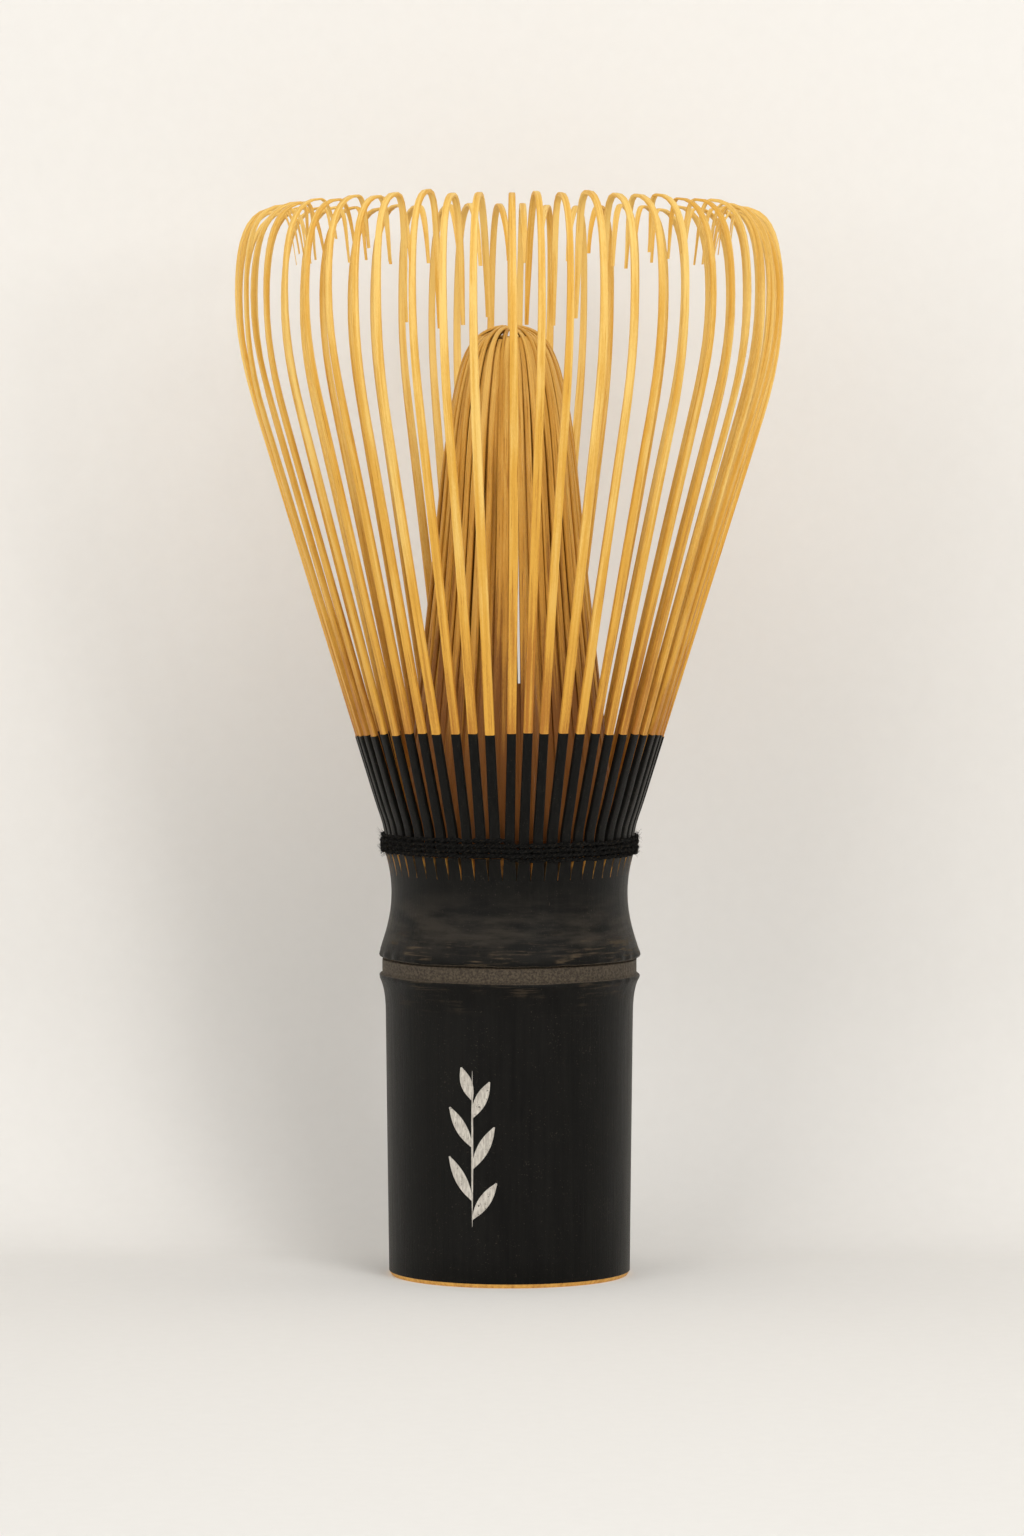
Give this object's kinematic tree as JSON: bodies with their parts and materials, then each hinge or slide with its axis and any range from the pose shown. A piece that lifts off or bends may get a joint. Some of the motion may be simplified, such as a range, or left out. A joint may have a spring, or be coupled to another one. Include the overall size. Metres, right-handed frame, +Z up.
{
  "type": "bamboo tea whisk",
  "caption": "Tea whisk split from one length of bamboo, with a ring of springy curled outer tines, a closed inner bundle, a thread binding and a hollow dark handle.",
  "frame": {"origin": "centre of the handle's cut foot, on the plane that the whisk stands on", "axes": "+Z up along the whisk's axis from the handle to the tines, -Y to the front"},
  "size_m": [0.0576, 0.0576, 0.1122],
  "materials": {
    "dark_bamboo": "smoked black bamboo skin, satin",
    "bare_bamboo": "split bare bamboo, fine lengthwise grain",
    "pale_bamboo": "split bare bamboo, slightly deeper gold",
    "dark_thread": "black waxed thread with a fuzzy nap"
  },
  "bodies": {
    "handle": {"handle_culm": "dark_bamboo", "binding_thread": "dark_thread"},
    "outer_tine_01": {"outer_tine_01": "bare_bamboo"},
    "outer_tine_02": {"outer_tine_02": "bare_bamboo"},
    "outer_tine_03": {"outer_tine_03": "bare_bamboo"},
    "outer_tine_04": {"outer_tine_04": "bare_bamboo"},
    "outer_tine_05": {"outer_tine_05": "bare_bamboo"},
    "outer_tine_06": {"outer_tine_06": "bare_bamboo"},
    "outer_tine_07": {"outer_tine_07": "bare_bamboo"},
    "outer_tine_08": {"outer_tine_08": "bare_bamboo"},
    "outer_tine_09": {"outer_tine_09": "bare_bamboo"},
    "outer_tine_10": {"outer_tine_10": "bare_bamboo"},
    "outer_tine_11": {"outer_tine_11": "bare_bamboo"},
    "outer_tine_12": {"outer_tine_12": "bare_bamboo"},
    "outer_tine_13": {"outer_tine_13": "bare_bamboo"},
    "outer_tine_14": {"outer_tine_14": "bare_bamboo"},
    "outer_tine_15": {"outer_tine_15": "bare_bamboo"},
    "outer_tine_16": {"outer_tine_16": "bare_bamboo"},
    "outer_tine_17": {"outer_tine_17": "bare_bamboo"},
    "outer_tine_18": {"outer_tine_18": "bare_bamboo"},
    "outer_tine_19": {"outer_tine_19": "bare_bamboo"},
    "outer_tine_20": {"outer_tine_20": "bare_bamboo"},
    "outer_tine_21": {"outer_tine_21": "bare_bamboo"},
    "outer_tine_22": {"outer_tine_22": "bare_bamboo"},
    "outer_tine_23": {"outer_tine_23": "bare_bamboo"},
    "outer_tine_24": {"outer_tine_24": "bare_bamboo"},
    "outer_tine_25": {"outer_tine_25": "bare_bamboo"},
    "outer_tine_26": {"outer_tine_26": "bare_bamboo"},
    "outer_tine_27": {"outer_tine_27": "bare_bamboo"},
    "outer_tine_28": {"outer_tine_28": "bare_bamboo"},
    "outer_tine_29": {"outer_tine_29": "bare_bamboo"},
    "outer_tine_30": {"outer_tine_30": "bare_bamboo"},
    "outer_tine_31": {"outer_tine_31": "bare_bamboo"},
    "outer_tine_32": {"outer_tine_32": "bare_bamboo"},
    "outer_tine_33": {"outer_tine_33": "bare_bamboo"},
    "outer_tine_34": {"outer_tine_34": "bare_bamboo"},
    "outer_tine_35": {"outer_tine_35": "bare_bamboo"},
    "outer_tine_36": {"outer_tine_36": "bare_bamboo"},
    "outer_tine_37": {"outer_tine_37": "bare_bamboo"},
    "outer_tine_38": {"outer_tine_38": "bare_bamboo"},
    "outer_tine_39": {"outer_tine_39": "bare_bamboo"},
    "outer_tine_40": {"outer_tine_40": "bare_bamboo"},
    "outer_tine_41": {"outer_tine_41": "bare_bamboo"},
    "outer_tine_42": {"outer_tine_42": "bare_bamboo"},
    "outer_tine_43": {"outer_tine_43": "bare_bamboo"},
    "outer_tine_44": {"outer_tine_44": "bare_bamboo"},
    "outer_tine_45": {"outer_tine_45": "bare_bamboo"},
    "outer_tine_46": {"outer_tine_46": "bare_bamboo"},
    "outer_tine_47": {"outer_tine_47": "bare_bamboo"},
    "outer_tine_48": {"outer_tine_48": "bare_bamboo"},
    "outer_tine_49": {"outer_tine_49": "bare_bamboo"},
    "outer_tine_50": {"outer_tine_50": "bare_bamboo"},
    "outer_tine_51": {"outer_tine_51": "bare_bamboo"},
    "outer_tine_52": {"outer_tine_52": "bare_bamboo"},
    "outer_tine_53": {"outer_tine_53": "bare_bamboo"},
    "outer_tine_54": {"outer_tine_54": "bare_bamboo"},
    "inner_tine_group_1": {"inner_tine_group_1": "pale_bamboo"},
    "inner_tine_group_2": {"inner_tine_group_2": "pale_bamboo"},
    "inner_tine_group_3": {"inner_tine_group_3": "pale_bamboo"},
    "inner_tine_group_4": {"inner_tine_group_4": "pale_bamboo"}
  },
  "joints": [
    {"name": "outer_tine_01_flex", "type": "hinge", "parent": "handle", "child": "outer_tine_01", "pos_m": [0, -0.0128, 0.0452], "axis": [1, 0, 0], "range_deg": [-8, 8], "stiffness_Nm_per_rad": 0.004},
    {"name": "outer_tine_02_flex", "type": "hinge", "parent": "handle", "child": "outer_tine_02", "pos_m": [0.00149, -0.01271, 0.0452], "axis": [0.9932, 0.1161, 0], "range_deg": [-8, 8], "stiffness_Nm_per_rad": 0.004},
    {"name": "outer_tine_03_flex", "type": "hinge", "parent": "handle", "child": "outer_tine_03", "pos_m": [0.00295, -0.01246, 0.0452], "axis": [0.973, 0.2306, 0], "range_deg": [-8, 8], "stiffness_Nm_per_rad": 0.004},
    {"name": "outer_tine_04_flex", "type": "hinge", "parent": "handle", "child": "outer_tine_04", "pos_m": [0.00438, -0.01203, 0.0452], "axis": [0.9397, 0.342, 0], "range_deg": [-8, 8], "stiffness_Nm_per_rad": 0.004},
    {"name": "outer_tine_05_flex", "type": "hinge", "parent": "handle", "child": "outer_tine_05", "pos_m": [0.00575, -0.01144, 0.0452], "axis": [0.8936, 0.4488, 0], "range_deg": [-8, 8], "stiffness_Nm_per_rad": 0.004},
    {"name": "outer_tine_06_flex", "type": "hinge", "parent": "handle", "child": "outer_tine_06", "pos_m": [0.00703, -0.01069, 0.0452], "axis": [0.8355, 0.5495, 0], "range_deg": [-8, 8], "stiffness_Nm_per_rad": 0.004},
    {"name": "outer_tine_07_flex", "type": "hinge", "parent": "handle", "child": "outer_tine_07", "pos_m": [0.00823, -0.0098, 0.0452], "axis": [0.766, 0.6428, 0], "range_deg": [-8, 8], "stiffness_Nm_per_rad": 0.004},
    {"name": "outer_tine_08_flex", "type": "hinge", "parent": "handle", "child": "outer_tine_08", "pos_m": [0.00931, -0.00878, 0.0452], "axis": [0.6862, 0.7274, 0], "range_deg": [-8, 8], "stiffness_Nm_per_rad": 0.004},
    {"name": "outer_tine_09_flex", "type": "hinge", "parent": "handle", "child": "outer_tine_09", "pos_m": [0.01027, -0.00764, 0.0452], "axis": [0.5972, 0.8021, 0], "range_deg": [-8, 8], "stiffness_Nm_per_rad": 0.004},
    {"name": "outer_tine_10_flex", "type": "hinge", "parent": "handle", "child": "outer_tine_10", "pos_m": [0.01108, -0.0064, 0.0452], "axis": [0.5, 0.866, 0], "range_deg": [-8, 8], "stiffness_Nm_per_rad": 0.004},
    {"name": "outer_tine_11_flex", "type": "hinge", "parent": "handle", "child": "outer_tine_11", "pos_m": [0.01175, -0.00507, 0.0452], "axis": [0.3961, 0.9182, 0], "range_deg": [-8, 8], "stiffness_Nm_per_rad": 0.004},
    {"name": "outer_tine_12_flex", "type": "hinge", "parent": "handle", "child": "outer_tine_12", "pos_m": [0.01226, -0.00367, 0.0452], "axis": [0.2868, 0.958, 0], "range_deg": [-8, 8], "stiffness_Nm_per_rad": 0.004},
    {"name": "outer_tine_13_flex", "type": "hinge", "parent": "handle", "child": "outer_tine_13", "pos_m": [0.01261, -0.00222, 0.0452], "axis": [0.1736, 0.9848, 0], "range_deg": [-8, 8], "stiffness_Nm_per_rad": 0.004},
    {"name": "outer_tine_14_flex", "type": "hinge", "parent": "handle", "child": "outer_tine_14", "pos_m": [0.01278, -0.00074, 0.0452], "axis": [0.0581, 0.9983, 0], "range_deg": [-8, 8], "stiffness_Nm_per_rad": 0.004},
    {"name": "outer_tine_15_flex", "type": "hinge", "parent": "handle", "child": "outer_tine_15", "pos_m": [0.01278, 0.00074, 0.0452], "axis": [-0.0581, 0.9983, 0], "range_deg": [-8, 8], "stiffness_Nm_per_rad": 0.004},
    {"name": "outer_tine_16_flex", "type": "hinge", "parent": "handle", "child": "outer_tine_16", "pos_m": [0.01261, 0.00222, 0.0452], "axis": [-0.1736, 0.9848, 0], "range_deg": [-8, 8], "stiffness_Nm_per_rad": 0.004},
    {"name": "outer_tine_17_flex", "type": "hinge", "parent": "handle", "child": "outer_tine_17", "pos_m": [0.01226, 0.00367, 0.0452], "axis": [-0.2868, 0.958, 0], "range_deg": [-8, 8], "stiffness_Nm_per_rad": 0.004},
    {"name": "outer_tine_18_flex", "type": "hinge", "parent": "handle", "child": "outer_tine_18", "pos_m": [0.01175, 0.00507, 0.0452], "axis": [-0.3961, 0.9182, 0], "range_deg": [-8, 8], "stiffness_Nm_per_rad": 0.004},
    {"name": "outer_tine_19_flex", "type": "hinge", "parent": "handle", "child": "outer_tine_19", "pos_m": [0.01108, 0.0064, 0.0452], "axis": [-0.5, 0.866, 0], "range_deg": [-8, 8], "stiffness_Nm_per_rad": 0.004},
    {"name": "outer_tine_20_flex", "type": "hinge", "parent": "handle", "child": "outer_tine_20", "pos_m": [0.01027, 0.00764, 0.0452], "axis": [-0.5972, 0.8021, 0], "range_deg": [-8, 8], "stiffness_Nm_per_rad": 0.004},
    {"name": "outer_tine_21_flex", "type": "hinge", "parent": "handle", "child": "outer_tine_21", "pos_m": [0.00931, 0.00878, 0.0452], "axis": [-0.6862, 0.7274, 0], "range_deg": [-8, 8], "stiffness_Nm_per_rad": 0.004},
    {"name": "outer_tine_22_flex", "type": "hinge", "parent": "handle", "child": "outer_tine_22", "pos_m": [0.00823, 0.0098, 0.0452], "axis": [-0.766, 0.6428, 0], "range_deg": [-8, 8], "stiffness_Nm_per_rad": 0.004},
    {"name": "outer_tine_23_flex", "type": "hinge", "parent": "handle", "child": "outer_tine_23", "pos_m": [0.00703, 0.01069, 0.0452], "axis": [-0.8355, 0.5495, 0], "range_deg": [-8, 8], "stiffness_Nm_per_rad": 0.004},
    {"name": "outer_tine_24_flex", "type": "hinge", "parent": "handle", "child": "outer_tine_24", "pos_m": [0.00575, 0.01144, 0.0452], "axis": [-0.8936, 0.4488, 0], "range_deg": [-8, 8], "stiffness_Nm_per_rad": 0.004},
    {"name": "outer_tine_25_flex", "type": "hinge", "parent": "handle", "child": "outer_tine_25", "pos_m": [0.00438, 0.01203, 0.0452], "axis": [-0.9397, 0.342, 0], "range_deg": [-8, 8], "stiffness_Nm_per_rad": 0.004},
    {"name": "outer_tine_26_flex", "type": "hinge", "parent": "handle", "child": "outer_tine_26", "pos_m": [0.00295, 0.01246, 0.0452], "axis": [-0.973, 0.2306, 0], "range_deg": [-8, 8], "stiffness_Nm_per_rad": 0.004},
    {"name": "outer_tine_27_flex", "type": "hinge", "parent": "handle", "child": "outer_tine_27", "pos_m": [0.00149, 0.01271, 0.0452], "axis": [-0.9932, 0.1161, 0], "range_deg": [-8, 8], "stiffness_Nm_per_rad": 0.004},
    {"name": "outer_tine_28_flex", "type": "hinge", "parent": "handle", "child": "outer_tine_28", "pos_m": [0, 0.0128, 0.0452], "axis": [-1, 0, 0], "range_deg": [-8, 8], "stiffness_Nm_per_rad": 0.004},
    {"name": "outer_tine_29_flex", "type": "hinge", "parent": "handle", "child": "outer_tine_29", "pos_m": [-0.00149, 0.01271, 0.0452], "axis": [-0.9932, -0.1161, 0], "range_deg": [-8, 8], "stiffness_Nm_per_rad": 0.004},
    {"name": "outer_tine_30_flex", "type": "hinge", "parent": "handle", "child": "outer_tine_30", "pos_m": [-0.00295, 0.01246, 0.0452], "axis": [-0.973, -0.2306, 0], "range_deg": [-8, 8], "stiffness_Nm_per_rad": 0.004},
    {"name": "outer_tine_31_flex", "type": "hinge", "parent": "handle", "child": "outer_tine_31", "pos_m": [-0.00438, 0.01203, 0.0452], "axis": [-0.9397, -0.342, 0], "range_deg": [-8, 8], "stiffness_Nm_per_rad": 0.004},
    {"name": "outer_tine_32_flex", "type": "hinge", "parent": "handle", "child": "outer_tine_32", "pos_m": [-0.00575, 0.01144, 0.0452], "axis": [-0.8936, -0.4488, 0], "range_deg": [-8, 8], "stiffness_Nm_per_rad": 0.004},
    {"name": "outer_tine_33_flex", "type": "hinge", "parent": "handle", "child": "outer_tine_33", "pos_m": [-0.00703, 0.01069, 0.0452], "axis": [-0.8355, -0.5495, 0], "range_deg": [-8, 8], "stiffness_Nm_per_rad": 0.004},
    {"name": "outer_tine_34_flex", "type": "hinge", "parent": "handle", "child": "outer_tine_34", "pos_m": [-0.00823, 0.0098, 0.0452], "axis": [-0.766, -0.6428, 0], "range_deg": [-8, 8], "stiffness_Nm_per_rad": 0.004},
    {"name": "outer_tine_35_flex", "type": "hinge", "parent": "handle", "child": "outer_tine_35", "pos_m": [-0.00931, 0.00878, 0.0452], "axis": [-0.6862, -0.7274, 0], "range_deg": [-8, 8], "stiffness_Nm_per_rad": 0.004},
    {"name": "outer_tine_36_flex", "type": "hinge", "parent": "handle", "child": "outer_tine_36", "pos_m": [-0.01027, 0.00764, 0.0452], "axis": [-0.5972, -0.8021, 0], "range_deg": [-8, 8], "stiffness_Nm_per_rad": 0.004},
    {"name": "outer_tine_37_flex", "type": "hinge", "parent": "handle", "child": "outer_tine_37", "pos_m": [-0.01108, 0.0064, 0.0452], "axis": [-0.5, -0.866, 0], "range_deg": [-8, 8], "stiffness_Nm_per_rad": 0.004},
    {"name": "outer_tine_38_flex", "type": "hinge", "parent": "handle", "child": "outer_tine_38", "pos_m": [-0.01175, 0.00507, 0.0452], "axis": [-0.3961, -0.9182, 0], "range_deg": [-8, 8], "stiffness_Nm_per_rad": 0.004},
    {"name": "outer_tine_39_flex", "type": "hinge", "parent": "handle", "child": "outer_tine_39", "pos_m": [-0.01226, 0.00367, 0.0452], "axis": [-0.2868, -0.958, 0], "range_deg": [-8, 8], "stiffness_Nm_per_rad": 0.004},
    {"name": "outer_tine_40_flex", "type": "hinge", "parent": "handle", "child": "outer_tine_40", "pos_m": [-0.01261, 0.00222, 0.0452], "axis": [-0.1736, -0.9848, 0], "range_deg": [-8, 8], "stiffness_Nm_per_rad": 0.004},
    {"name": "outer_tine_41_flex", "type": "hinge", "parent": "handle", "child": "outer_tine_41", "pos_m": [-0.01278, 0.00074, 0.0452], "axis": [-0.0581, -0.9983, 0], "range_deg": [-8, 8], "stiffness_Nm_per_rad": 0.004},
    {"name": "outer_tine_42_flex", "type": "hinge", "parent": "handle", "child": "outer_tine_42", "pos_m": [-0.01278, -0.00074, 0.0452], "axis": [0.0581, -0.9983, 0], "range_deg": [-8, 8], "stiffness_Nm_per_rad": 0.004},
    {"name": "outer_tine_43_flex", "type": "hinge", "parent": "handle", "child": "outer_tine_43", "pos_m": [-0.01261, -0.00222, 0.0452], "axis": [0.1736, -0.9848, 0], "range_deg": [-8, 8], "stiffness_Nm_per_rad": 0.004},
    {"name": "outer_tine_44_flex", "type": "hinge", "parent": "handle", "child": "outer_tine_44", "pos_m": [-0.01226, -0.00367, 0.0452], "axis": [0.2868, -0.958, 0], "range_deg": [-8, 8], "stiffness_Nm_per_rad": 0.004},
    {"name": "outer_tine_45_flex", "type": "hinge", "parent": "handle", "child": "outer_tine_45", "pos_m": [-0.01175, -0.00507, 0.0452], "axis": [0.3961, -0.9182, 0], "range_deg": [-8, 8], "stiffness_Nm_per_rad": 0.004},
    {"name": "outer_tine_46_flex", "type": "hinge", "parent": "handle", "child": "outer_tine_46", "pos_m": [-0.01108, -0.0064, 0.0452], "axis": [0.5, -0.866, 0], "range_deg": [-8, 8], "stiffness_Nm_per_rad": 0.004},
    {"name": "outer_tine_47_flex", "type": "hinge", "parent": "handle", "child": "outer_tine_47", "pos_m": [-0.01027, -0.00764, 0.0452], "axis": [0.5972, -0.8021, 0], "range_deg": [-8, 8], "stiffness_Nm_per_rad": 0.004},
    {"name": "outer_tine_48_flex", "type": "hinge", "parent": "handle", "child": "outer_tine_48", "pos_m": [-0.00931, -0.00878, 0.0452], "axis": [0.6862, -0.7274, 0], "range_deg": [-8, 8], "stiffness_Nm_per_rad": 0.004},
    {"name": "outer_tine_49_flex", "type": "hinge", "parent": "handle", "child": "outer_tine_49", "pos_m": [-0.00823, -0.0098, 0.0452], "axis": [0.766, -0.6428, 0], "range_deg": [-8, 8], "stiffness_Nm_per_rad": 0.004},
    {"name": "outer_tine_50_flex", "type": "hinge", "parent": "handle", "child": "outer_tine_50", "pos_m": [-0.00703, -0.01069, 0.0452], "axis": [0.8355, -0.5495, 0], "range_deg": [-8, 8], "stiffness_Nm_per_rad": 0.004},
    {"name": "outer_tine_51_flex", "type": "hinge", "parent": "handle", "child": "outer_tine_51", "pos_m": [-0.00575, -0.01144, 0.0452], "axis": [0.8936, -0.4488, 0], "range_deg": [-8, 8], "stiffness_Nm_per_rad": 0.004},
    {"name": "outer_tine_52_flex", "type": "hinge", "parent": "handle", "child": "outer_tine_52", "pos_m": [-0.00438, -0.01203, 0.0452], "axis": [0.9397, -0.342, 0], "range_deg": [-8, 8], "stiffness_Nm_per_rad": 0.004},
    {"name": "outer_tine_53_flex", "type": "hinge", "parent": "handle", "child": "outer_tine_53", "pos_m": [-0.00295, -0.01246, 0.0452], "axis": [0.973, -0.2306, 0], "range_deg": [-8, 8], "stiffness_Nm_per_rad": 0.004},
    {"name": "outer_tine_54_flex", "type": "hinge", "parent": "handle", "child": "outer_tine_54", "pos_m": [-0.00149, -0.01271, 0.0452], "axis": [0.9932, -0.1161, 0], "range_deg": [-8, 8], "stiffness_Nm_per_rad": 0.004},
    {"name": "inner_tine_group_1_flex", "type": "hinge", "parent": "handle", "child": "inner_tine_group_1", "pos_m": [0.00778, -0.00778, 0.0452], "axis": [0.7071, 0.7071, 0], "range_deg": [0, 4], "stiffness_Nm_per_rad": 0.02},
    {"name": "inner_tine_group_2_flex", "type": "hinge", "parent": "handle", "child": "inner_tine_group_2", "pos_m": [0.00778, 0.00778, 0.0452], "axis": [-0.7071, 0.7071, 0], "range_deg": [0, 4], "stiffness_Nm_per_rad": 0.02},
    {"name": "inner_tine_group_3_flex", "type": "hinge", "parent": "handle", "child": "inner_tine_group_3", "pos_m": [-0.00778, 0.00778, 0.0452], "axis": [-0.7071, -0.7071, 0], "range_deg": [0, 4], "stiffness_Nm_per_rad": 0.02},
    {"name": "inner_tine_group_4_flex", "type": "hinge", "parent": "handle", "child": "inner_tine_group_4", "pos_m": [-0.00778, -0.00778, 0.0452], "axis": [0.7071, -0.7071, 0], "range_deg": [0, 4], "stiffness_Nm_per_rad": 0.02}
  ]
}
